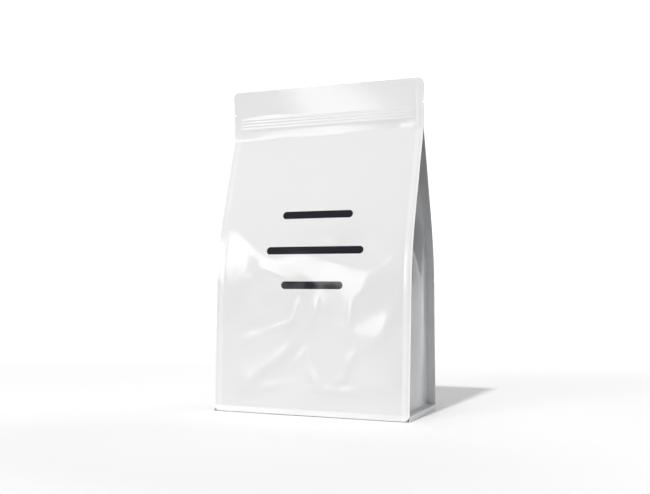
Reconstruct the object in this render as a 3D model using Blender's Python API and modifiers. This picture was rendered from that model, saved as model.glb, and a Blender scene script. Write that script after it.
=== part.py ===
"""A shut, filled flat-bottom pouch of white film, as one solid. Metres, +Z up, origin on the floor.

Two wide panels, front (-Y) and back (+Y), run from the foot up to the header. On each side a
gusset joins them, set in behind the side seals: it bulges a little where the pouch is full, and
folds inwards as a pleat above that. From the shoulder up, the panels lean together into a flat
header with the ribs of a press-to-close strip and a tear notch at each edge. Everything is heat
sealed, so the pouch is one piece.
"""

import math

import bmesh
import bpy

# Overall sizes
HEIGHT = 0.221
HEADER_WIDTH = 0.140
BASE_WIDTH = 0.1375
BASE_DEPTH = 0.0596

# Side profile: a wall that leans in slightly, and above the shoulder a steeper roof
WALL_LEAN = 0.045
ROOF_LEAN = 0.31
ROOF_APEX = 0.1874
SHOULDER_BLEND = 0.006
PANELS_MEET = 0.186
MEETING_BLEND = 0.009

# Film and seals, with the film drawn thicker than the real 0.15 mm
FILM = 0.0005
FOLDED_IN = 0.0003
CORE_FOLDED_IN = 0.0001
SIDE_SEAL = 0.0054
FOOT_SEAL = 0.004
FOOT_INSET = 0.0026

# Side gussets: how far the middle stands out from the seal line, or folds in
GUSSET_BULGE = 0.0059
PLEAT_DEPTH = 0.022
PLEAT_FOOT = 0.086
PLEAT_FULL = 0.135
ROOT_SPREAD = 0.012
BULGE_FULL = 0.030
BOW_ROUNDNESS = 0.4

# Header, where the two panels and the ends of the gussets are sealed together
HEADER_THICKNESS = 0.0008
BODY_TOP = 0.185
HEADER_FOOT = 0.1825
HEADER_CORNER = 0.0038
NOTCH_HEIGHT = 0.205
NOTCH_DEPTH = 0.002
NOTCH_MOUTH = 0.0018
RIB_COUNT = 4
RIB_LOWEST = 0.1948
RIB_PITCH = 0.0021
RIB_RADIUS = 0.0007
RIB_SIDES = 8

# Fullness of the wide panels
PILLOW = 0.0022
PILLOW_FOOT = 0.010
PILLOW_FULL = 0.065
PILLOW_FADE = 0.105
PILLOW_TOP = 0.178

# How finely the solid is divided
PANEL_COLUMNS = 16
GUSSET_STEPS = 6
CORNER_STEPS = 4
BODY_STEPS = 30
MERGE_DISTANCE = 0.00001
SMOOTH_BELOW = math.radians(35)

# Broad folds in the film: x, z, half length, half width, tilt in degrees, height (minus is a dent)
FRONT_FOLDS = (
    (-0.050, 0.112, 0.016, 0.009, -25, 0.0010),
    (-0.006, 0.100, 0.030, 0.009, -4, 0.0009),
    (0.034, 0.093, 0.016, 0.009, -20, 0.0008),
    (0.042, 0.075, 0.013, 0.009, 0, -0.0013),
    (0.002, 0.070, 0.007, 0.016, 0, -0.0006),
    (-0.030, 0.036, 0.022, 0.009, 48, -0.0005),
    (0.022, 0.028, 0.020, 0.009, -15, -0.0006),
)
BACK_FOLDS = (
    (-0.036, 0.104, 0.024, 0.009, 12, 0.0009),
    (0.030, 0.098, 0.026, 0.009, -10, 0.0010),
    (-0.020, 0.080, 0.014, 0.009, 20, -0.0011),
    (0.038, 0.055, 0.010, 0.016, 15, -0.0006),
    (-0.040, 0.034, 0.020, 0.009, -35, -0.0005),
)


def smooth_step(start, end, value):
    """0 before start, 1 after end, with level ends between them."""
    t = min(max((value - start) / (end - start), 0.0), 1.0)
    return t * t * (3 - 2 * t)


def half_width(z):
    """Half the pouch's width across its side seals."""
    base = BASE_WIDTH / 2
    return base + (HEADER_WIDTH / 2 - base) * min(z / BODY_TOP, 1.0)


def seal_line(z):
    """Where the side seals start, and the gussets with them."""
    return half_width(z) - SIDE_SEAL


def half_depth(z):
    """Half the pouch's depth: the lesser of wall and roof, blended round the shoulder."""
    wall = BASE_DEPTH / 2 - WALL_LEAN * max(z - FOOT_SEAL, 0.0)
    roof = ROOF_LEAN * (ROOF_APEX - z)
    blend = max(SHOULDER_BLEND - abs(wall - roof), 0.0) / SHOULDER_BLEND
    depth = min(wall, roof) - blend * blend * SHOULDER_BLEND / 4
    closing = smooth_step(0.0, MEETING_BLEND, PANELS_MEET - z)
    return max(depth * closing, FOLDED_IN)


def relief(x, z, folds):
    """How far a panel stands out from its flat shape: its pillow, and the folds in its film."""
    across = max(1 - (x / seal_line(z)) ** 2, 0.0)
    full = smooth_step(PILLOW_FOOT, PILLOW_FULL, z) * (1 - smooth_step(PILLOW_FADE, PILLOW_TOP, z))
    height = PILLOW * across * full
    for fold_x, fold_z, length, width, tilt, rise in folds:
        angle = math.radians(tilt)
        along = (x - fold_x) * math.cos(angle) + (z - fold_z) * math.sin(angle)
        over = (z - fold_z) * math.cos(angle) - (x - fold_x) * math.sin(angle)
        height += rise * across * math.exp(-((along / length) ** 2) - (over / width) ** 2)
    return height


def fin_edge(z):
    """Half width of a wide panel, whose bottom corners are round."""
    below = max(FOOT_SEAL - z, 0.0)
    return half_width(z) - FOOT_SEAL + math.sqrt(FOOT_SEAL**2 - below**2)


def body_levels():
    """Heights of the rows: close round the bottom corners, then even up to the header."""
    quarter = math.pi / 2 / CORNER_STEPS
    corner = [FOOT_SEAL * (1 - math.cos(quarter * step)) for step in range(CORNER_STEPS)]
    rise = (BODY_TOP - FOOT_SEAL) / BODY_STEPS
    return corner + [FOOT_SEAL + rise * step for step in range(BODY_STEPS + 1)]


def link_mesh(bm, name, collection):
    """Puts a finished bmesh into a new object of that name."""
    bmesh.ops.recalc_face_normals(bm, faces=bm.faces)
    mesh = bpy.data.meshes.new(name)
    bm.to_mesh(mesh)
    bm.free()
    piece = bpy.data.objects.new(name, mesh)
    collection.objects.link(piece)
    return piece


def make_panel(name, side, folds, collection):
    """A wide panel: a grid bent to the side profile, given its film's thickness inwards."""
    levels = body_levels()
    rows = len(levels) - 1
    columns = PANEL_COLUMNS + 2
    bm = bmesh.new()
    bmesh.ops.create_grid(bm, x_segments=columns, y_segments=rows, size=1.0)
    for vert in bm.verts:
        column = round((vert.co.x + 1) / 2 * columns)
        z = levels[round((vert.co.y + 1) / 2 * rows)]
        x = seal_line(z) * (2 * (column - 1) / PANEL_COLUMNS - 1)
        if column == 0:
            x = -fin_edge(z)
        elif column == columns:
            x = fin_edge(z)
        elif z < FOOT_SEAL:
            x *= min(1.0, (fin_edge(z) - FILM) / seal_line(z))
        vert.co = (x, side * (half_depth(z) + relief(x, z, folds)), z)
    panel = link_mesh(bm, name, collection)
    outwards = panel.data.polygons[0].normal.y * side > 0
    thicken = panel.modifiers.new("film", "SOLIDIFY")
    thicken.thickness = FILM
    thicken.offset = -1.0 if outwards else 1.0
    return panel


def gusset_point(z, step):
    """Place of a gusset's point, from its front root (step 0) over the middle to its back root."""
    across = 2 * step / GUSSET_STEPS - 1
    bow = 1 - abs(across)
    bow *= 1 + BOW_ROUNDNESS * (1 - bow)
    if z <= FOOT_SEAL:
        x = half_width(z) - FOOT_INSET * math.sin(math.pi / 2 * z / FOOT_SEAL)
    else:
        spread = 1 - smooth_step(FOOT_SEAL, ROOT_SPREAD, z)
        bulge = GUSSET_BULGE * smooth_step(FOOT_SEAL, BULGE_FULL, z)
        pleat = smooth_step(PLEAT_FOOT, PLEAT_FULL, z)
        root = seal_line(z) + (SIDE_SEAL - FOOT_INSET) * spread
        x = root + bow * (bulge - (bulge + PLEAT_DEPTH) * pleat)
    return x, across


def core_ring(z):
    """One level of the filled body, anticlockwise from the front left, half a film inside."""
    edge = gusset_point(z, 0)[0]
    xs = [edge * (2 * column / PANEL_COLUMNS - 1) for column in range(PANEL_COLUMNS + 1)]
    bare = max(half_depth(z) - FILM / 2, CORE_FOLDED_IN)
    front = [(x, -bare - relief(x, z, FRONT_FOLDS), z) for x in xs]
    back = [(-x, bare + relief(-x, z, BACK_FOLDS), z) for x in xs]
    right = []
    for step in range(1, GUSSET_STEPS):
        x, across = gusset_point(z, step)
        right.append((x, across * bare, z))
    left = [(-x, -y, z) for x, y, z in right]
    return front + right + back + left


def make_core(collection):
    """The filled body between the panels: a loft of its levels."""
    bm = bmesh.new()
    rings = [[bm.verts.new(point) for point in core_ring(z)] for z in body_levels()]
    for lower, upper in zip(rings, rings[1:]):
        for index in range(len(lower)):
            after = (index + 1) % len(lower)
            bm.faces.new((lower[index], lower[after], upper[after], upper[index]))
    bm.faces.new(reversed(rings[0]))
    bm.faces.new(rings[-1])
    return link_mesh(bm, "core", collection)


def header_outline():
    """Right half of the header's outline in x and z: foot, tear notch, then the round corner."""
    edge = HEADER_WIDTH / 2
    points = [
        (edge, HEADER_FOOT),
        (edge, NOTCH_HEIGHT - NOTCH_MOUTH / 2),
        (edge - NOTCH_DEPTH, NOTCH_HEIGHT),
        (edge, NOTCH_HEIGHT + NOTCH_MOUTH / 2),
    ]
    for step in range(CORNER_STEPS + 1):
        angle = math.pi / 2 * step / CORNER_STEPS
        x = edge - HEADER_CORNER * (1 - math.cos(angle))
        z = HEIGHT - HEADER_CORNER * (1 - math.sin(angle))
        points.append((x, z))
    return points


def make_header(collection):
    """The flat header: its filled outline as a curve, stood up and made a closed mesh."""
    right = header_outline()
    outline = right + [(-x, z) for x, z in reversed(right)]
    curve = bpy.data.curves.new("header_outline", "CURVE")
    curve.dimensions = "2D"
    curve.fill_mode = "BOTH"
    curve.extrude = HEADER_THICKNESS / 2
    spline = curve.splines.new("POLY")
    spline.points.add(len(outline) - 1)
    for point, (x, z) in zip(spline.points, outline):
        point.co = (x, z, 0.0, 1.0)
    spline.use_cyclic_u = True
    drawn = bpy.data.objects.new("header_outline", curve)
    drawn.rotation_euler.x = math.pi / 2
    bpy.context.scene.collection.objects.link(drawn)
    bpy.context.view_layer.update()
    flat = bpy.data.meshes.new_from_object(drawn.evaluated_get(bpy.context.evaluated_depsgraph_get()))
    bm = bmesh.new()
    bm.from_mesh(flat)
    bm.transform(drawn.matrix_world)
    bmesh.ops.remove_doubles(bm, verts=bm.verts, dist=MERGE_DISTANCE)
    bpy.data.objects.remove(drawn)
    return link_mesh(bm, "header", collection)


def make_rib(index, collection):
    """One rib of the press-to-close strip, running between the header's side seals."""
    bpy.ops.mesh.primitive_cylinder_add(
        vertices=RIB_SIDES,
        radius=RIB_RADIUS,
        depth=HEADER_WIDTH - 2 * SIDE_SEAL,
        location=(0.0, 0.0, RIB_LOWEST + RIB_PITCH * index),
        rotation=(0.0, math.pi / 2, 0.0),
    )
    rib = bpy.context.object
    rib.name = "rib"
    for owner in rib.users_collection:
        owner.objects.unlink(rib)
    collection.objects.link(rib)
    return rib


def film_material():
    """White film with a soft gloss."""
    material = bpy.data.materials.new("white_film")
    material.use_nodes = True
    shader = material.node_tree.nodes["Principled BSDF"]
    shader.inputs["Base Color"].default_value = (0.86, 0.86, 0.86, 1.0)
    shader.inputs["Roughness"].default_value = 0.28
    shader.inputs["Metallic"].default_value = 0.0
    return material


def join_all(base, collection):
    """Makes base one solid with everything in the collection, which is then emptied."""
    union = base.modifiers.new("sealed", "BOOLEAN")
    union.operation = "UNION"
    union.operand_type = "COLLECTION"
    union.collection = collection
    union.solver = "EXACT"
    bpy.context.view_layer.update()
    depsgraph = bpy.context.evaluated_depsgraph_get()
    joined = bpy.data.meshes.new_from_object(base.evaluated_get(depsgraph))
    base.modifiers.clear()
    base.data = joined
    for piece in list(collection.objects):
        bpy.data.objects.remove(piece)
    bpy.data.collections.remove(collection)


def build():
    """Makes the pouch: the filled body, with panels, header and ribs sealed on."""
    for existing in list(bpy.data.objects):
        bpy.data.objects.remove(existing)
    pouch_parts = bpy.data.collections.new("flat_bottom_pouch")
    bpy.context.scene.collection.children.link(pouch_parts)
    joined = bpy.data.collections.new("sealed_on")
    bpy.context.scene.collection.children.link(joined)

    pouch = make_core(pouch_parts)
    make_panel("front_panel", -1, FRONT_FOLDS, joined)
    make_panel("back_panel", 1, BACK_FOLDS, joined)
    make_header(joined)
    for index in range(RIB_COUNT):
        make_rib(index, joined)
    join_all(pouch, joined)

    pouch.name = "pouch"
    pouch.data.name = "pouch"
    pouch.data.materials.clear()
    pouch.data.materials.append(film_material())
    pouch.data.shade_smooth()
    pouch.data.set_sharp_from_angle(angle=SMOOTH_BELOW)


build()
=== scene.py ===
# %% [markdown]
# # A flat-bottom pouch of glossy white film
#
# The object is a shut, filled pouch of the kind that holds ground coffee or snacks. It is made of
# five pieces of film sealed along their edges: a front, a back, two side gussets and a base. The
# solid model gives its sizes. Here each piece of film becomes its own fine surface, worked out
# with numpy from two parameters, so that the creases, seals and folds are real shape.

# %% Load the solid model as the frame
import math

import bpy
import numpy as np
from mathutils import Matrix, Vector


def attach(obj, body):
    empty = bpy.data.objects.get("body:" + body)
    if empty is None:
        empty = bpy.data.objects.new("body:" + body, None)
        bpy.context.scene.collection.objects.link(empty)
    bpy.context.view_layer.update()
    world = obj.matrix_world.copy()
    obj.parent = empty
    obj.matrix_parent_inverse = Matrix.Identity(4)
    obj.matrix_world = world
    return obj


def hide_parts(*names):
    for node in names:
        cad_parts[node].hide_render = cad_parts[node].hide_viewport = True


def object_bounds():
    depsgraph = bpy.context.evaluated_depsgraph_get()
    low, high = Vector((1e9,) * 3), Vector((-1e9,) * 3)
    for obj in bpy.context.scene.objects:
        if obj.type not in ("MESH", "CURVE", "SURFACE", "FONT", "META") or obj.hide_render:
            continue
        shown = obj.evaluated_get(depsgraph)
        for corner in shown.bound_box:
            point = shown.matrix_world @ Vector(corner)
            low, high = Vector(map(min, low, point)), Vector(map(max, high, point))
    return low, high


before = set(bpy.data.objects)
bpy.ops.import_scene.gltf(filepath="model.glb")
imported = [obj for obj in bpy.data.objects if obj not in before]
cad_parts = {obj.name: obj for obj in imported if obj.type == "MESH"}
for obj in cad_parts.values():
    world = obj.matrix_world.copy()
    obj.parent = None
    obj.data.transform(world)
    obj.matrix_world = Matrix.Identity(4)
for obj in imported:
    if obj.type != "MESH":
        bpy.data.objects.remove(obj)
cad_low, cad_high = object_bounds()
WIDTH = cad_high.x - cad_low.x
DEPTH = cad_high.y - cad_low.y
HEIGHT = cad_high.z
MM = 0.001
print(f"frame: {WIDTH / MM:.1f} x {DEPTH / MM:.1f} x {HEIGHT / MM:.1f} mm")

# %% [markdown]
# ## The camera
#
# A 50 mm lens stands to the right of the pouch, a little below its middle, and looks slightly up
# at its centre. The upright edges then stay almost upright and the header's top edge climbs to
# the right. The place could be found by eye. It was worked out from the corners of the pouch
# instead, because their perspective fixes it.

# %% Place the camera
EYE = Vector((0.2379, -0.5660, 0.0872))
LENS = 50
SENSOR = 36

camera_data = bpy.data.cameras.new("camera")
camera_data.lens = LENS
camera_data.sensor_width = SENSOR
camera = bpy.data.objects.new("camera", camera_data)
camera.location = EYE
camera.rotation_euler = (Vector((0, 0, HEIGHT / 2)) - EYE).to_track_quat("-Z", "Y").to_euler()
bpy.context.scene.collection.objects.link(camera)
bpy.context.scene.camera = camera
print("camera at", tuple(round(c, 3) for c in EYE))

# %% [markdown]
# ## The outline
#
# Both wide panels have the same outline: almost straight sides that spread by a millimetre
# towards the top, round corners, and a small V cut into each edge of the header to start the
# tear. It could be a drawn curve. Here it is a formula for half the width at each height, because
# the grid of a panel can then be stretched to it.

# %% Half the width at each height
TAPER = 1.25 * MM
BASE_HALF = WIDTH / 2 - TAPER
BODY_TOP = 185 * MM
SIDE_SEAL = 5.4 * MM
FOOT_SEAL = 4 * MM
FOOT_CORNER = 4 * MM
HEADER_CORNER = 3.8 * MM
NOTCH_HEIGHT = 205 * MM
NOTCH_DEPTH = 2 * MM
NOTCH_MOUTH = 1.8 * MM


def smooth_step(start, end, value):
    """0 up to start, 1 from end on, and 3 t squared minus 2 t cubed in between."""
    t = np.clip((value - start) / (end - start), 0, 1)
    return t * t * (3 - 2 * t)


def half_width(z):
    """Half the width across the seals: it grows evenly from the foot to the header."""
    return BASE_HALF + TAPER * np.minimum(z / BODY_TOP, 1)


def seal_line(z):
    """Where the side seals start: half the width less the width of a seal."""
    return half_width(z) - SIDE_SEAL


def corner_cut(distance, radius):
    """How much a quarter circle takes off the half width at a distance from the end."""
    inside = np.clip(radius - distance, 0, radius)
    return radius - np.sqrt(radius**2 - inside**2)


def panel_edge(z):
    """Half the width of a wide panel, less its round corners and the V of the tear notch."""
    notch = NOTCH_DEPTH * np.clip(1 - np.abs(z - NOTCH_HEIGHT) / (NOTCH_MOUTH / 2), 0, 1)
    corners = corner_cut(z, FOOT_CORNER) + corner_cut(HEIGHT - z, HEADER_CORNER)
    return half_width(z) - corners - notch


spread = half_width(HEIGHT) - half_width(0)
print(f"half width {half_width(0) / MM:.2f} mm at the foot, {spread / MM:.2f} mm more at the top")

# %% [markdown]
# ## The side profile
#
# Seen from the side, the filled part is a wall that leans in a little. Above the shoulder a
# steeper roof brings the two panels together. It could be a smoothed polygon. Two straight lines
# are plainer: the lesser of them is the depth, with the corner between them rounded off.

# %% Half the depth at each height
FOOT_FLARE = 0.75 * MM
WALL_LEAN = 0.040
ROOF_LEAN = 0.305
ROOF_APEX = 188.6 * MM
SHOULDER_BLEND = 6 * MM
CREASE_BLEND = 0.22 * MM
HEADER_HALF = 0.35 * MM


def half_depth(z, crease=CREASE_BLEND):
    """Half the depth: the lesser of wall and roof, blended, then closed on the header."""
    flare = FOOT_FLARE * np.minimum(z / FOOT_SEAL, 1)
    wall = DEPTH / 2 - flare - WALL_LEAN * np.maximum(z - FOOT_SEAL, 0)
    roof = ROOF_LEAN * (ROOF_APEX - z)
    blend = np.maximum(SHOULDER_BLEND - np.abs(wall - roof), 0) / SHOULDER_BLEND
    lesser = np.minimum(wall, roof) - blend**2 * SHOULDER_BLEND / 4
    bulk = lesser - HEADER_HALF
    return HEADER_HALF + (bulk + np.hypot(bulk, crease)) / 2


depths = half_depth(np.array([0, BODY_TOP / 2, HEIGHT])) / MM
print("half depth at the foot, half way up and at the top, in mm:", depths.round(2))

# %% [markdown]
# ## A film as a closed shell
#
# Real film is a sheet with two faces. A Solidify modifier could give it its thickness. Here the
# shell is worked out directly: a grid of points, a second grid set inwards along its normals, and
# a rim that joins them, so that the mesh is closed and final. The normal at a point is the cross
# product of the directions to its neighbours. The columns of every grid run anticlockwise seen
# from above and its rows run upwards, so the normals point out.

# %% Turn a grid of points into a film
FILM = 0.22 * MM
SHARP_ANGLE = math.radians(40)


def grid_normals(points):
    """Unit cross product of the column and row directions, or none where columns meet."""
    along = np.gradient(points, axis=1)
    up = np.gradient(points, axis=0)
    normals = np.cross(along, up)
    length = np.linalg.norm(normals, axis=2, keepdims=True)
    return normals / np.where(length > 0, length, 1)


def film_shell(name, points, material):
    """Makes a closed film: the grid outside, its copy set in by the thickness, and the rim."""
    rows, columns = points.shape[:2]
    inner = points - grid_normals(points) * FILM
    index = np.arange(rows * columns).reshape(rows, columns)
    corners = [index[:-1, :-1], index[:-1, 1:], index[1:, 1:], index[1:, :-1]]
    outside = np.stack([corner.ravel() for corner in corners], axis=1)
    inside = outside[:, ::-1] + rows * columns
    rim = np.concatenate([index[0, :-1], index[:-1, -1], index[-1, :0:-1], index[:0:-1, 0]])
    after = np.roll(rim, -1)
    edge = np.stack([after, rim, rim + rows * columns, after + rows * columns], axis=1)
    mesh = bpy.data.meshes.new(name)
    vertices = np.concatenate([points.reshape(-1, 3), inner.reshape(-1, 3)])
    mesh.from_pydata(vertices.tolist(), [], np.concatenate([outside, inside, edge]).tolist())
    mesh.materials.append(material)
    mesh.shade_smooth()
    mesh.set_sharp_from_angle(angle=SHARP_ANGLE)
    piece = bpy.data.objects.new(name, mesh)
    bpy.context.scene.collection.objects.link(piece)
    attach(piece, "root")
    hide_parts("pouch")
    print(f"{name}: {len(mesh.polygons)} faces")


print(f"film {FILM / MM:.2f} mm thick")

# %% [markdown]
# ## Shader maths
#
# Masks and variations are plain formulas. They could be wired by hand, node by node. A small
# class wraps a socket instead, so that an expression in Python adds its Math nodes, and one
# method makes any other node.

# %% Node expressions


class Value:
    """A socket that can be added, multiplied and so on, each step adding a Math node."""

    def __init__(self, tree, socket):
        self.tree = tree
        self.socket = socket

    def math(self, operation, *others):
        """A Math node whose first input is this socket."""
        return self.tree.node("ShaderNodeMath", {"operation": operation}, [self, *others])[0]

    def __add__(self, other):
        return self.math("ADD", other)

    def __sub__(self, other):
        return self.math("SUBTRACT", other)

    def __mul__(self, other):
        return self.math("MULTIPLY", other)

    def __abs__(self):
        return self.math("ABSOLUTE")

    def __rsub__(self, other):
        return self.tree.node("ShaderNodeMath", {"operation": "SUBTRACT"}, [other, self])[0]

    __radd__ = __add__
    __rmul__ = __mul__

    def above(self, other):
        """The greater of the two."""
        return self.math("MAXIMUM", other)


class Tree:
    """A node tree with one method that adds any node."""

    def __init__(self, owner):
        owner.use_nodes = True
        self.nodes = owner.node_tree.nodes
        self.links = owner.node_tree.links

    def put(self, socket, value):
        """Links a socket to a value, or sets it to a number or colour."""
        if isinstance(value, Value):
            self.links.new(value.socket, socket)
        else:
            socket.default_value = value

    def node(self, kind, settings, inputs):
        """Adds a node: settings first, then its inputs by place or by name."""
        made = self.nodes.new(kind)
        for key, value in settings.items():
            setattr(made, key, value)
        named = inputs.items() if isinstance(inputs, dict) else enumerate(inputs)
        for key, value in named:
            self.put(made.inputs[key], value)
        return [Value(self, socket) for socket in made.outputs]


print("shader maths ready")

# %% [markdown]
# ## Four nodes with short names
#
# The finishes need the same few nodes again and again: a soft step, a mix of two colours, a
# cloudy noise and the place on the object. Each gets a function, so that a finish reads as what
# it does. The patterns read Object coordinates, because every piece shares them and a pattern
# then runs on across the seals.

# %% Ramp, mix, noise and position
OBJECT_OUTPUT = 3
MIX_FIRST = 6
MIX_SECOND = 7
MIX_OUTPUT = 2


def ramp(tree, value, start, end):
    """0 up to start and 1 from end on, smoothly."""
    return tree.node(
        "ShaderNodeMapRange",
        {"interpolation_type": "SMOOTHSTEP"},
        {"Value": value, "From Min": start, "From Max": end},
    )[0]


def mix_colours(tree, share, first, second):
    """The first colour, with a share of the second mixed in."""
    inputs = {"Factor": share, MIX_FIRST: first, MIX_SECOND: second}
    return tree.node("ShaderNodeMix", {"data_type": "RGBA"}, inputs)[MIX_OUTPUT]


def noise(tree, place, scale, detail):
    """Clouds between 0 and 1, with so many to the metre and so many finer layers."""
    inputs = {"Vector": place, "Scale": scale, "Detail": detail}
    return tree.node("ShaderNodeTexNoise", {}, inputs)[0]


def position(tree):
    """Object coordinates, then the distances across, along and up that they hold."""
    place = tree.node("ShaderNodeTexCoord", {}, [])[OBJECT_OUTPUT]
    return place, *tree.node("ShaderNodeSeparateXYZ", {}, [place])


print("ramp, mix, noise and position ready")

# %% [markdown]
# ## The film
#
# The pouch is white laminate with a good gloss. Real film is never quite even: its gloss wanders
# where it has been rubbed, it has a very fine pebble from the rollers, and it is duller near the
# foot, where the contents press it into a fine crumple. Its white drifts a little in cloudy
# patches, and it is painted lighter towards the empty top as painted light. A picture could carry
# all this, but noise and height do it at any size. The gussets are a slightly cooler white, painted
# grey towards the folded pleat as painted shade, and the lip at their foot is painted whiter as
# painted light.

# %% The white film's finish
# Painted light: the panels' white is painted lighter towards the top.
FILM_TOP_PAINTED_LIGHT = (0.84, 0.836, 0.835, 1)
FILM_BODY = (0.804, 0.8, 0.799, 1)
# Painted shade: the gussets' white is painted grey towards the folded pleat.
GUSSET_TOP_PAINTED_SHADE = (0.49, 0.493, 0.5, 1)
GUSSET_BODY = (0.80, 0.81, 0.825, 1)
# Whitens the seals, and also paints the rim highlight and the lightened lip of the gussets.
SEAL_WHITE_AND_PAINTED_LIGHT = (0.93, 0.93, 0.93, 1)
EMPTY_ABOVE = (60 * MM, 200 * MM)
PAINTED_SHADING_BY_HEIGHT = 0.8
DRIFT_BY_CLOUD = 0.2
ROUGHNESS = 0.085
RUBBED_ROUGHER = 0.03
FOOT_ROUGHER = 0.135
FOOT_DULL_BELOW = (44 * MM, 72 * MM)
# scale to the metre and detail of each noise
CLOUD = (14.0, 3.0)
RUB = (45.0, 4.0)
PEBBLE = (700.0, 2.0)
PEBBLE_STRENGTH = 0.05
PEBBLE_DEPTH = 0.05 * MM
FILM_IOR = 1.5
LIP_EDGE = (3.4 * MM, 4.2 * MM)


def film_tree(material, top, body):
    """The shared part: a white painted with height, light on the panels and shade on the gussets, a
    cloudy drift, wandering gloss and a fine pebble.
    """
    tree = Tree(material)
    place, across, _, up = position(tree)
    # Painted light and shade: the colour moves towards the top colour with height, lighter on the
    # panels and greyer on the gussets.
    full = 1 - ramp(tree, up, *EMPTY_ABOVE)
    painted_shading_and_drift = full * PAINTED_SHADING_BY_HEIGHT + noise(tree, place, *CLOUD) * DRIFT_BY_CLOUD
    colour = mix_colours(tree, painted_shading_and_drift, top, body)
    foot = 1 - ramp(tree, up, *FOOT_DULL_BELOW)
    rubbed = noise(tree, place, *RUB)
    pebble = noise(tree, place, *PEBBLE)
    bump_inputs = {"Strength": PEBBLE_STRENGTH, "Distance": PEBBLE_DEPTH, "Height": pebble}
    shader = tree.nodes["Principled BSDF"].inputs
    tree.put(shader["Base Color"], colour)
    tree.put(shader["Roughness"], rubbed * RUBBED_ROUGHER + foot * FOOT_ROUGHER + ROUGHNESS)
    tree.put(shader["Normal"], tree.node("ShaderNodeBump", {}, bump_inputs)[0])
    tree.put(shader["IOR"], FILM_IOR)
    return tree, across, up, colour


white_film = bpy.data.materials.new("white_film")
film_tree(white_film, FILM_TOP_PAINTED_LIGHT, FILM_BODY)
gusset_film = bpy.data.materials.new("gusset_film")
tree, across, up, colour = film_tree(gusset_film, GUSSET_TOP_PAINTED_SHADE, GUSSET_BODY)
# Painted light: the lip at the gusset's foot is painted whiter.
lip_painted_light = mix_colours(tree, 1 - ramp(tree, up, *LIP_EDGE), colour, SEAL_WHITE_AND_PAINTED_LIGHT)
tree.put(tree.nodes["Principled BSDF"].inputs["Base Color"], lip_painted_light)
print("finishes:", white_film.name, gusset_film.name)

# %% [markdown]
# ## The printed front
#
# The front carries a plain printed mark: three dark bars of different length, one above the
# other. They could be thin pieces laid on the film. Here each is a rounded rectangle, drawn as a
# mask from the distance to its core line, so the print has crisp edges at any size and follows
# every fold. A second mask of the same kind paints the seals round the edge whiter and lays a
# painted highlight along the outermost rim.

# %% Front film: bars, whitened seals and a painted rim highlight
INK = (0.022, 0.023, 0.028, 1)
BAR_HALF_HEIGHT = 2.5 * MM
INK_EDGE = 0.12 * MM
# middle across, middle up and half length in millimetres
BARS = [(2.2, 131.3, 25.0), (2.3, 107.5, 34.0), (1.8, 84.6, 21.7)]
# distances from the edge, and heights, between which a whitened band starts or ends
RIM_END = (0.4 * MM, 1.3 * MM)
WELD_START = (2.0 * MM, 2.8 * MM)
WELD_END = (4.8 * MM, 5.6 * MM)
WELD_TOP = (183 * MM, 189 * MM)
FOOT_END = (3.4 * MM, 4.4 * MM)
# How strongly the rim is painted as a painted highlight along the edge.
RIM_PAINTED_HIGHLIGHT = 0.9
WELD_WHITER = 0.35
FOOT_WHITER = 0.15


def printed_mask(tree, across, up):
    """1 inside any bar: distance to the bar's core line less than its half height."""
    mask = 0.0
    for middle, height, half_length in BARS:
        core = half_length * MM - BAR_HALF_HEIGHT
        beyond = (abs(across - middle * MM) - core).above(0.0)
        off = up - height * MM
        distance = (beyond * beyond + off * off).math("SQRT")
        mask += 1 - ramp(tree, distance, BAR_HALF_HEIGHT - INK_EDGE, BAR_HALF_HEIGHT + INK_EDGE)
    return mask


def seal_and_rim_highlight_mask(tree, across, up):
    """How white the seals are painted: a painted highlight on the rim, the weld along the sides, or
    the band at the foot.
    """
    from_edge = up * (TAPER / BODY_TOP) + BASE_HALF - abs(across)
    # Painted highlight: the outermost rim of the edge is painted almost white.
    rim = 1 - ramp(tree, from_edge, *RIM_END)
    weld = ramp(tree, from_edge, *WELD_START) * (1 - ramp(tree, from_edge, *WELD_END))
    weld *= 1 - ramp(tree, up, *WELD_TOP)
    foot = 1 - ramp(tree, up, *FOOT_END)
    return (rim * RIM_PAINTED_HIGHLIGHT + weld * WELD_WHITER).above(foot * FOOT_WHITER)


printed_film = bpy.data.materials.new("printed_film")
tree, across, up, colour = film_tree(printed_film, FILM_TOP_PAINTED_LIGHT, FILM_BODY)
whitened_and_highlighted = mix_colours(tree, seal_and_rim_highlight_mask(tree, across, up), colour, SEAL_WHITE_AND_PAINTED_LIGHT)
inked = mix_colours(tree, printed_mask(tree, across, up), whitened_and_highlighted, INK)
tree.put(tree.nodes["Principled BSDF"].inputs["Base Color"], inked)
print("printed film with", len(BARS), "bars")

# %% [markdown]
# ## Folds and creases
#
# The contents press broad folds and fine creases into the film. Cloth simulation could make
# some, but not at chosen places. Here each is a tilted bell: exp of minus the squares of the
# distances along it and across it. The broad dents and ridges turn the film towards the softbox
# or away from it, so they shape the highlight along the shoulder. The creases in the lower third
# are longer than wide, and catch it as faint streaks.

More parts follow.
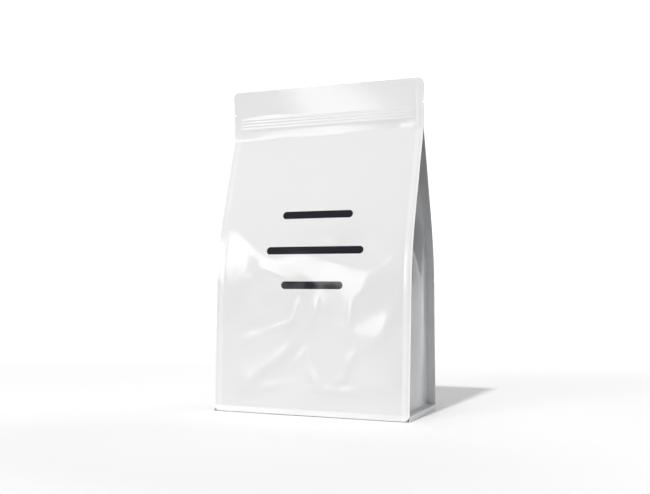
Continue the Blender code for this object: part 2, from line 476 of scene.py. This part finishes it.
# %% Tables of bells
# in each row: x, z, half length and half width in mm, tilt in degrees and height in mm
FRONT_CREASES = [
    (-44.6, 49.2, 12.8, 3.1, 20, 0.58),
    (-21.2, 57.5, 11.8, 2.2, 18, 0.36),
    (-11.3, 61.7, 7.8, 4.0, 44, 0.52),
    (-8.9, 69.9, 11.3, 3.8, 63, 0.48),
    (4.5, 66.0, 9.0, 2.4, 80, 0.42),
    (29.0, 65.0, 9.0, 2.4, 84, 0.38),
    (-42.7, 23.0, 13.9, 5.7, 45, 1.30),
    (-23.1, 35.8, 18.3, 3.8, 38, 0.84),
    (-45.5, 18.6, 9.5, 7.8, -17, 1.70),
    (-27.3, 18.1, 12.5, 3.0, 13, 0.54),
    (-6.0, 38.0, 7.0, 2.6, 62, 0.50),
    (5.1, 23.5, 8.1, 3.4, -53, 0.56),
    (20.1, 17.5, 15.4, 2.4, -1, 0.46),
    (29.0, 36.0, 7.0, 3.6, 60, 0.95),
    (22.0, 24.0, 8.0, 3.4, 45, 0.80),
    (-41.6, 55.3, 14.8, 4.7, 15, -0.82),
    (1.3, 50.2, 16.7, 7.8, 44, -1.00),
    (22.3, 20.2, 10.0, 3.0, 11, -0.50),
]
FRONT_DENTS = [
    (-59.7, 90.3, 6.6, 14.0, -69, -1.50),
    (-34.9, 95.4, 19.5, 14.0, 23, 1.92),
    (38.8, 83.7, 6.5, 14.0, -39, 0.45),
    (47.2, 45.7, 28.6, 9.5, -35, 0.57),
    (-6.0, 69.3, 14.6, 10.0, -28, 0.50),
    (-7.4, 47.8, 28.3, 13.8, -83, -1.10),
    (47.9, 51.0, 18.4, 4.0, 40, 0.58),
    (-6.7, 72.4, 6.0, 14.0, -12, -0.96),
    (37.1, 72.2, 20.7, 7.0, -63, -0.17),
    (59.2, 26.8, 30.0, 13.7, 3, 1.97),
    (59.2, 21.4, 5.0, 14.0, -85, 2.02),
    (30.9, 54.4, 29.4, 3.5, -19, 0.20),
    (55.1, 59.7, 5.0, 14.0, -24, 2.02),
    (-34.2, 116.0, 14.6, 13.0, -40, -0.70),
    (-51.5, 43.2, 29.2, 10.9, 32, -1.52),
    (26.3, 107.1, 22.9, 7.9, -7, -1.02),
    (11.0, 79.7, 29.3, 14.0, 82, -0.67),
    (47.5, 115.7, 18.3, 14.0, 58, -2.02),
    (49.3, 56.5, 7.8, 14.0, -60, 1.64),
    (-42.7, 95.0, 26.8, 6.9, -40, -0.59),
    (-11.7, 8.0, 24.6, 10.3, 34, 0.79),
    (33.4, 19.3, 18.9, 5.1, 6, 0.48),
    (45.3, 25.6, 5.9, 10.5, -38, 0.30),
    (59.8, 23.3, 8.3, 14.0, 8, 2.02),
    (30.9, 120.7, 16.5, 9.9, -71, -1.28),
    (-55.4, 120.8, 16.6, 5.0, -46, 0.31),
]
BACK_DENTS = [
    (-36.0, 104.0, 24.0, 9.0, 12, 0.90),
    (30.0, 98.0, 26.0, 9.0, -10, 1.00),
    (-20.0, 80.0, 14.0, 9.0, 20, -1.10),
    (38.0, 55.0, 10.0, 16.0, 15, -0.60),
    (-40.0, 34.0, 20.0, 9.0, -35, -0.50),
]


def fold_height(x, z, folds):
    """Sum of the tilted bells."""
    total = np.zeros_like(x)
    for fold_x, fold_z, length, width, tilt, rise in folds:
        angle = math.radians(tilt)
        right = x - fold_x * MM
        up = z - fold_z * MM
        along = (right * math.cos(angle) + up * math.sin(angle)) / (length * MM)
        over = (up * math.cos(angle) - right * math.sin(angle)) / (width * MM)
        total += rise * MM * np.exp(-(along**2) - over**2)
    return total


print("in front:", len(FRONT_CREASES), "creases and", len(FRONT_DENTS), "dents")
print("behind:", len(BACK_DENTS), "dents")

# %% [markdown]
# ## The press-to-close strip
#
# A strip with four fine ribs runs across the header. It could be a piece of its own, but on the
# real pouch it shows only through the film, so it is relief in the panel: a low band whose soft
# upper edge rises a little at the left, and four bells of height on it.

# %% Band and ribs
ZIP_FOOT = 193 * MM
ZIP_TOP = 202.2 * MM
ZIP_HEIGHT = 0.15 * MM
ZIP_FOOT_EDGE = 1 * MM
ZIP_TOP_EDGE = 1.8 * MM
ZIP_END = 1.5 * MM
ZIP_RISE = 1.8 * MM
ZIP_CREST = -42 * MM
ZIP_CREST_WIDTH = 16 * MM
RIB_LOWEST = 194.8 * MM
RIB_PITCH = 2.1 * MM
RIB_COUNT = 4
RIB_WIDTH = 0.5 * MM
RIB_HEIGHT = 0.14 * MM


def bell(value, middle, width):
    """exp of minus the square of the distance from the middle, in widths."""
    return np.exp(-(((value - middle) / width) ** 2))


def zip_relief(x, z):
    """A band with a soft upper edge plus the ribs, both ending shortly before the seals."""
    top = ZIP_TOP + ZIP_RISE * bell(x, ZIP_CREST, ZIP_CREST_WIDTH)
    foot = smooth_step(ZIP_FOOT, ZIP_FOOT + ZIP_FOOT_EDGE, z)
    relief = ZIP_HEIGHT * foot * (1 - smooth_step(top - ZIP_TOP_EDGE, top, z))
    for index in range(RIB_COUNT):
        relief = relief + RIB_HEIGHT * bell(z, RIB_LOWEST + RIB_PITCH * index, RIB_WIDTH)
    return relief * smooth_step(0, ZIP_END, seal_line(z) - np.abs(x))


print(RIB_COUNT, "ribs from", round(RIB_LOWEST / MM, 1), "mm up")

# %% [markdown]
# ## The pull under the strip
#
# Between the crease and the strip the film sinks towards the right, and just before the right
# seal it climbs again in a short ramp, which catches the light. Both are ramps across the panel,
# kept inside a band of heights, because that is how film runs between two straight seals.

# %% Sink and pucker
PULL_SPAN = (186.5 * MM, 193.8 * MM)
PUCKER_LENGTH = 10 * MM
PUCKER_HEIGHT = 0.72 * MM
PUCKER_FADE = 0.5
PUCKER_FOOT_EDGE = 1.5 * MM
PULL_TOP_EDGE = 1 * MM
SINK_DEPTH = 0.5 * MM
SINK_START = 10 * MM
SINK_LENGTH = 42 * MM
SINK_EDGE = 2.5 * MM


def pull_under_zip(x, z):
    """The ramp up to the seal, lower towards its top, less the ramp down from the middle."""
    low, high = PULL_SPAN
    free = x < seal_line(z)
    climb = np.clip((x - seal_line(z) + PUCKER_LENGTH) / PUCKER_LENGTH, 0, 1) * free
    climb *= smooth_step(low, low + PUCKER_FOOT_EDGE, z)
    climb *= 1 - smooth_step(high - PULL_TOP_EDGE, high, z)
    climb *= 1 - PUCKER_FADE * (z - low) / (high - low)
    sink = np.clip((x - SINK_START) / SINK_LENGTH, 0, 1) * free
    sink *= smooth_step(low, low + SINK_EDGE, z)
    sink *= 1 - smooth_step(high - SINK_EDGE, high + PULL_TOP_EDGE, z)
    return PUCKER_HEIGHT * climb - SINK_DEPTH * sink


print("the film is pulled between", [round(height / MM, 1) for height in PULL_SPAN], "mm up")

# %% [markdown]
# ## The lean of the header
#
# An empty header never stands quite flat. This one leans forward towards its left end, more above
# the strip than below, and its last centimetre curls forward a little. The light then slides off
# it in a soft band. Turning the header as a rigid flap would break the film at the seals, so the
# lean is a smooth shift in depth that fades out down the body, and the gussets share it.

# %% Lean and curl
HEADER_LEAN = math.radians(5.0)
LEAN_START = -80 * MM
LEAN_FULL = 61 * MM
LEAN_FOOT = 187 * MM
LEAN_BEND = 197 * MM
LEAN_SOFT = 4 * MM
LEAN_BACK = 12 * MM
LEAN_BODY = 140 * MM
LOWER_SHARE = 0.55
UPPER_SHARE = 0.4
# how fast the top turns, in radians to the metre
CURL = 0.6
CURL_FOOT = 207 * MM


def header_sway(x, z):
    """Lean times the reach above the foot, which grows faster past the bend, plus the curl."""
    lean = HEADER_LEAN * smooth_step(LEAN_START, LEAN_FULL, -x)
    bend = z - LEAN_BEND
    reach = LOWER_SHARE * np.maximum(z - LEAN_FOOT, 0)
    reach += UPPER_SHARE * (bend + np.hypot(bend, LEAN_SOFT)) / 2
    curl = CURL * np.maximum(z - CURL_FOOT, 0) ** 2 / 2
    return lean * (reach - LEAN_BACK) * smooth_step(LEAN_BODY, LEAN_FOOT, z) + curl


ends = header_sway(np.array([-WIDTH / 2, WIDTH / 2]), HEIGHT) / MM
print("shift of the header's top corners in mm:", ends.round(2))

# %% [markdown]
# ## The crease under the header
#
# Where the roof meets the header the film bends in a crease. On the real pouch it dips at the
# left and is softer there than at the right. Moving single points would leave dents, so the
# profile itself is read a little higher or lower, and its blend is widened or narrowed.

# %% Wander and sharpness of the crease
CREASE_REACH = 6 * MM
CREASE_SOFTER = 0.2 * MM
SOFTER_SPAN = (10 * MM, 50 * MM)
CREASE_SHARPER = 0.1 * MM
SHARPER_SPAN = (12 * MM, 34 * MM)
# x, half width and rise of each wave in millimetres
CREASE_WAVES = [(-60, 16, -1.7), (-32, 8, 0.4), (-6, 14, -0.8)]


def crease_line(x, z):
    """How far the crease wanders up, a sum of bells, and how wide its blend is."""
    near = bell(z, ROOF_APEX, CREASE_REACH)
    wander = sum(rise * MM * bell(x, place * MM, width * MM) for place, width, rise in CREASE_WAVES)
    softer = CREASE_SOFTER * smooth_step(*SOFTER_SPAN, -x)
    sharper = CREASE_SHARPER * smooth_step(*SHARPER_SPAN, x)
    return wander * near, CREASE_BLEND + (softer - sharper) * near


print("crease with", len(CREASE_WAVES), "waves")

# %% [markdown]
# ## The relief of a wide panel
#
# The contents push a panel out like a shallow pillow between its seals, and the sealing jaws
# leave a fine groove beside each seal. The pillow, the folds, the grooves, the strip and the pull
# under it are heights over the same plane, so they are simply added.

# %% Pillow and grooves
PILLOW = 1.6 * MM
PILLOW_SWELLS = (10 * MM, 65 * MM)
PILLOW_ENDS = (105 * MM, 178 * MM)
GROOVE_DEPTH = 0.12 * MM
GROOVE_WIDTH = 0.8 * MM
GROOVE_FADES = (178 * MM, BODY_TOP)
GROOVE_FAINTER = 0.55


def panel_relief(x, z, folds):
    """Pillow and folds times 1 less x squared between the seals, less grooves, plus strip."""
    across = np.clip(1 - (x / seal_line(z)) ** 2, 0, 1)
    full = smooth_step(*PILLOW_SWELLS, z) * (1 - smooth_step(*PILLOW_ENDS, z))
    body = (PILLOW * full + fold_height(x, z, folds)) * across
    side_groove = bell(np.abs(x), seal_line(z), GROOVE_WIDTH)
    side_groove *= 1 - GROOVE_FAINTER * smooth_step(*GROOVE_FADES, z)
    foot_groove = bell(z, FOOT_SEAL, GROOVE_WIDTH)
    grooves = GROOVE_DEPTH * (side_groove + foot_groove)
    return body - grooves + zip_relief(x, z) + pull_under_zip(x, z)


print(f"pillow {PILLOW / MM:.1f} mm, grooves {GROOVE_DEPTH / MM:.2f} mm")

# %% [markdown]
# ## The wide panels
#
# Each wide panel is one sheet from the foot to the top of the header. u runs across it: from -1
# to 1 between the seals, and on to 2 through each seal. v is the height. A subdivided plane would
# spend its points evenly. These rows lie close together only at the foot, the crease, the strip,
# the notch and the top corners. The lowest edge stands a little off the floor, so that the pouch
# has a thin dark line under it.

# %% Front and back panels
SEAL_COLUMNS = 6
SEAL_LEAST = 1 * MM
PANEL_COLUMNS = 156
FOOT_LIFT = 0.4 * MM
# from and to in millimetres, and the number of rows
ROW_BANDS = [
    (0, 4, 10),
    (4, 80, 92),
    (80, 184, 84),
    (184, 187, 5),
    (187, 190.5, 16),
    (190.5, 193, 4),
    (193, 202, 34),
    (202, 204, 4),
    (204, 206, 8),
    (206, 217, 6),
    (217, 221, 10),
]


def panel_rows():
    """Heights of the rows, band by band."""
    bands = [np.linspace(low, high, count, endpoint=False) for low, high, count in ROW_BANDS]
    return np.append(np.concatenate(bands) * MM, HEIGHT)


def panel_points(side, folds):
    """A wide panel: u across, v up; y is the half depth plus the relief, on that side."""
    seal = np.linspace(1, 2, SEAL_COLUMNS + 1)
    middle = np.linspace(-1, 1, PANEL_COLUMNS + 1)
    u = np.concatenate([-seal[:0:-1], middle, seal[1:]])
    u, z = np.meshgrid(u, panel_rows())
    edge = panel_edge(z)
    inner = np.minimum(seal_line(z), edge - SEAL_LEAST)
    beyond = np.clip(np.abs(u) - 1, 0, 1)
    x = np.clip(u, -1, 1) * inner + np.sign(u) * beyond * (edge - inner)
    wander, crease = crease_line(x, z)
    depth = half_depth(z - wander, crease) + panel_relief(x, z, folds)
    y = side * depth - header_sway(-side * x, z)
    lifted = z + FOOT_LIFT * (1 - smooth_step(0, FOOT_SEAL, z))
    return np.stack([-side * x, y, lifted], axis=2)


film_shell("front_panel", panel_points(-1, FRONT_CREASES + FRONT_DENTS), printed_film)
film_shell("back_panel", panel_points(1, BACK_DENTS), white_film)

# %% [markdown]
# ## The side gussets
#
# A gusset lines the back of both side seals and spans the gap between them. Where the pouch is
# full it bows out a little past the seals. Higher up it folds in as a pleat, whose lower end is a
# round arch. At the foot it is pressed flat to the seals' full width, as a low lip. It could be
# folded by a simulation. A formula is surer: the gusset's width is fixed, so how deep the pleat
# is follows from how far apart the panels are.

# %% Gussets
GUSSET_BULGE = 4.2 * MM
BULGE_AT_FOOT = 0.5
BULGE_FULL = 50 * MM
BOW_FULLNESS = 0.35
PLEAT_TIP = 93 * MM
PLEAT_SPREAD = 18 * MM
PLEAT_LENGTH = 62 * MM
PLEAT_ROUND = 0.08
PLEAT_CLOSED = 0.97
RIDGE_ROUND = 0.25
LIP_HEIGHT = 3.6 * MM
LIP_END = 4.8 * MM
LINING_GAP = 0.5 * MM
LINING_INSET = 0.1 * MM
TUCK = 0.6 * MM
TUCK_START = 165 * MM
GUSSET_FOLDED = 0.05 * MM
GUSSET_COLUMNS = 60
LINING_COLUMNS = 5
LIP_ROWS = 16
GUSSET_ROWS = 170


def pleat_depth(z):
    """How far the pleat reaches in: the gusset's width is fixed, so it follows a circle."""
    reach = DEPTH / 2
    return np.sqrt(reach**2 - np.minimum(half_depth(z), PLEAT_CLOSED * reach) ** 2)


def gusset_wall(s, z):
    """The gusset's x: the bulge, drawn in above the arch as far as the pleat has started."""
    rounded = np.hypot(np.clip(s, -1, 1), RIDGE_ROUND) - RIDGE_ROUND
    inwards = 1 - rounded / (math.hypot(1, RIDGE_ROUND) - RIDGE_ROUND)
    bow = inwards * (1 + BOW_FULLNESS * (1 - inwards))
    arch = PLEAT_TIP + PLEAT_SPREAD * np.sqrt(1 - inwards**2)
    risen = (z - arch) / PLEAT_LENGTH
    started = np.clip((risen + np.hypot(risen, PLEAT_ROUND)) / 2, 0, 1)
    pleat = started * (2 - started)
    swell = BULGE_AT_FOOT + (1 - BULGE_AT_FOOT) * smooth_step(FOOT_SEAL, BULGE_FULL, z)
    bulge = GUSSET_BULGE * swell
    wall = seal_line(z) + bow * (bulge - (bulge + pleat_depth(z)) * pleat)
    return wall + (half_width(z) - wall) * (1 - smooth_step(LIP_HEIGHT, LIP_END, z))


def gusset_points(side):
    """A gusset: s runs from seal to seal, past 1 on the linings, and v is the height."""
    lining = np.linspace(1, 2, LINING_COLUMNS + 1)
    middle = np.linspace(-1, 1, GUSSET_COLUMNS + 1)
    s = np.concatenate([-lining[:0:-1], middle, lining[1:]])
    lip = np.linspace(0, LIP_END, LIP_ROWS, endpoint=False)
    s, z = np.meshgrid(s, np.concatenate([lip, np.linspace(LIP_END, BODY_TOP, GUSSET_ROWS)]))
    wall = gusset_wall(s, z)
    edge = np.maximum(panel_edge(z) - LINING_INSET, wall)
    x = wall + np.clip(np.abs(s) - 1, 0, 1) * (edge - wall)
    gap = LINING_GAP + TUCK * smooth_step(TUCK_START, BODY_TOP, z)
    y = side * np.clip(s, -1, 1) * np.maximum(half_depth(z) - gap, GUSSET_FOLDED)
    y = y - header_sway(side * half_width(z), z)
    return np.stack([side * x, y, z], axis=2)


film_shell("right_gusset", gusset_points(1), gusset_film)
film_shell("left_gusset", gusset_points(-1), gusset_film)

# %% [markdown]
# ## The base
#
# The base is one flat rectangle of film, drawn up slightly inside its seals. A single face would
# do for a flat one. The grid lets it rise smoothly from the seals.

# %% Base
BASE_LIFT = 0.8 * MM
BASE_SLOPE = 8 * MM
BASE_COLUMNS = 60
BASE_ROWS = 30


def base_points():
    """A rectangle seen from below, lifted inside the seals by the product of two rises."""
    x, y = np.meshgrid(
        np.linspace(BASE_HALF, -BASE_HALF, BASE_COLUMNS),
        np.linspace(-DEPTH / 2 + FILM, DEPTH / 2 - FILM, BASE_ROWS),
    )
    inside_x = smooth_step(0, BASE_SLOPE, BASE_HALF - np.abs(x))
    inside_y = smooth_step(0, BASE_SLOPE, DEPTH / 2 - np.abs(y))
    return np.stack([x, y, FOOT_LIFT + BASE_LIFT * inside_x * inside_y], axis=2)


film_shell("base_panel", base_points(), white_film)

# %% [markdown]
# ## The floor
#
# The pouch stands on a white floor that runs out of sight. Round the pouch the floor is painted a
# little greyer as painted shade, and far off it is as white as the background. One big sheet could
# do, but it would throw all its light back onto the film. So a near sheet lights the pouch, and a
# far one below it is only seen and mirrored.

# %% Floor
FLOOR_REACH = 40.0
NEAR_SIDE = 0.42
NEAR_BACK = 0.6
NEAR_FRONT = 4.0
FAR_DROP = 0.2 * MM
# Painted shade: the grey of the floor round the pouch.
NEAR_PAINTED_SHADE = (0.88, 0.88, 0.88, 1)
BLACK = (0, 0, 0, 1)
WHITE = (1, 1, 1, 1)
PATCH_AHEAD = 0.16
PATCH_SQUEEZE = 2.2
PATCH_EDGE = (0.08, 0.27)
GLOW_EDGE = (0.45, 1.4)
FAR_GLOW = 0.2
FLOOR_ROUGHNESS = 0.9


def floor_paint(name):
    """Painted shade in an oval grey patch in front of the pouch, then white, and far off faintly
    glowing.
    """
    paint = bpy.data.materials.new(name)
    tree = Tree(paint)
    _, across, along, _ = position(tree)
    ahead = along + PATCH_AHEAD
    reach = (across * across + ahead * ahead * PATCH_SQUEEZE).math("SQRT")
    # Painted shade: grey inside the oval patch, white outside it.
    colour = mix_colours(tree, ramp(tree, reach, *PATCH_EDGE), NEAR_PAINTED_SHADE, WHITE)
    glow = mix_colours(tree, ramp(tree, reach, *GLOW_EDGE), BLACK, WHITE)
    shader = tree.nodes["Principled BSDF"].inputs
    tree.put(shader["Base Color"], colour)
    tree.put(shader["Emission Color"], glow)
    tree.put(shader["Emission Strength"], FAR_GLOW)
    tree.put(shader["Roughness"], FLOOR_ROUGHNESS)
    tree.put(shader["Specular IOR Level"], 0.0)
    return paint


def floor_sheet(name, low_x, high_x, low_y, high_y, height):
    """A flat rectangle facing up."""
    corners = [(low_x, low_y), (high_x, low_y), (high_x, high_y), (low_x, high_y)]
    mesh = bpy.data.meshes.new(name)
    mesh.from_pydata([(x, y, height) for x, y in corners], [], [(0, 1, 2, 3)])
    mesh.materials.append(floor_paint(name + "_paint"))
    sheet = bpy.data.objects.new(name, mesh)
    bpy.context.scene.collection.objects.link(sheet)
    return sheet


floor_sheet("near_floor", -NEAR_FRONT, NEAR_SIDE, -NEAR_FRONT, NEAR_BACK, 0.0)
far_floor = floor_sheet("far_floor", *(-FLOOR_REACH, FLOOR_REACH) * 2, -FAR_DROP)
far_floor.visible_diffuse = False
print("floor laid")

# %% [markdown]
# ## Sun and fill
#
# One sun high in front throws the short shadow behind the pouch. A weak fill, also high in front,
# evens out the rest. A bigger sun would soften the shadow too much. The fill isn't mirrored,
# because the film would show it as a second highlight.

# %% Sun and fill
SUN_FROM = Vector((-9, -169, 221))
SUN_DISTANCE = 3
SUN_STRENGTH = 1.455
SUN_ANGLE = math.radians(3)
FILL_FROM = Vector((-0.12, -0.55, 0.62))
FILL_SIZE = 0.4
FILL_POWER = 0.6


def aimed_light(name, data, place, target):
    """Puts a light at a place and turns it towards the target."""
    light = bpy.data.objects.new(name, data)
    light.location = place
    light.rotation_euler = (target - place).to_track_quat("-Z", "Y").to_euler()
    bpy.context.scene.collection.objects.link(light)
    return light


sun_data = bpy.data.lights.new("sun", "SUN")
sun_data.energy = SUN_STRENGTH
sun_data.angle = SUN_ANGLE
aimed_light("sun", sun_data, SUN_FROM.normalized() * SUN_DISTANCE, Vector((0, 0, 0)))
fill_data = bpy.data.lights.new("fill", "AREA")
fill_data.shape = "DISK"
fill_data.size = FILL_SIZE
fill_data.energy = FILL_POWER
fill = aimed_light("fill", fill_data, FILL_FROM, Vector((0, 0, HEIGHT / 2)))
fill.visible_glossy = False
print("lit by a sun and a fill")

# %% [markdown]
# ## The softbox
#
# A large softbox far to the left gives the bright bands on the header and along the shoulder. An
# area light could do the same. A glowing sheet with four free corners is used, because its
# slanted upper and lower edges are what the film mirrors.

# %% Softbox
SOFTBOX_DISTANCE = 12.0
SOFTBOX_RADIANCE = 4.6
AIM_HEIGHT = 0.087
# azimuth left of the front and elevation of its four corners, in degrees
SOFTBOX_CORNERS = [(19.1, 2.6), (40, 11.0), (40, 27.2), (19.1, 18.8)]


def toward(azimuth, elevation, distance):
    """The point at an azimuth to the left of the front, an elevation and a distance."""
    left = math.radians(azimuth)
    rise = math.radians(elevation)
    flat = math.cos(rise) * distance
    return (-math.sin(left) * flat, -math.cos(left) * flat, math.sin(rise) * distance + AIM_HEIGHT)


softbox_mesh = bpy.data.meshes.new("softbox")
softbox_corners = [toward(*corner, SOFTBOX_DISTANCE) for corner in SOFTBOX_CORNERS]
softbox_mesh.from_pydata(softbox_corners, [], [(0, 1, 2, 3)])
glow = bpy.data.materials.new("softbox_glow")
tree = Tree(glow)
glowing = tree.node("ShaderNodeEmission", {}, {"Color": WHITE, "Strength": SOFTBOX_RADIANCE})[0]
tree.put(tree.nodes["Material Output"].inputs["Surface"], glowing)
softbox_mesh.materials.append(glow)
softbox = bpy.data.objects.new("softbox", softbox_mesh)
bpy.context.scene.collection.objects.link(softbox)
print("softbox at", SOFTBOX_DISTANCE, "m")

# %% [markdown]
# ## The sky
#
# What is left of the studio is a sky. It is bright overhead, and has a second bright patch low
# behind the pouch, which the right gusset mirrors at a flat angle and so looks pale at its foot.
# Lamps could stand there, but a formula on the direction gives the same soft edges without any
# object. What the camera sees directly is plain white.

# %% Sky
DIRECTION_OUTPUT = 0
CAMERA_RAY_OUTPUT = 0
CAP_EDGE = (0.74, 0.88)
CAP_LEVEL = 1.49
BACKDROP_LEVEL = 0.85
BACKDROP_SIDE = (0.75, 0.9)
BACKDROP_TOP = (0.04, 0.5)
WHITE_SEEN = 1.2

world = bpy.data.worlds.new("sky")
bpy.context.scene.world = world
sky = Tree(world)
direction = sky.node("ShaderNodeTexCoord", {}, [])[DIRECTION_OUTPUT]
_, away, up = sky.node("ShaderNodeSeparateXYZ", {}, [direction])
cap = ramp(sky, up, *CAP_EDGE)
backdrop = ramp(sky, away, *BACKDROP_SIDE) * (1 - ramp(sky, up, *BACKDROP_TOP))
seen = sky.node("ShaderNodeLightPath", {}, [])[CAMERA_RAY_OUTPUT]
level = (cap * CAP_LEVEL + backdrop * BACKDROP_LEVEL) * (1 - seen) + seen * WHITE_SEEN
sky.put(sky.nodes["Background"].inputs["Color"], WHITE)
sky.put(sky.nodes["Background"].inputs["Strength"], level)
bpy.context.scene.view_settings.view_transform = "Standard"
print("sky with a bright cap and a bright backdrop")
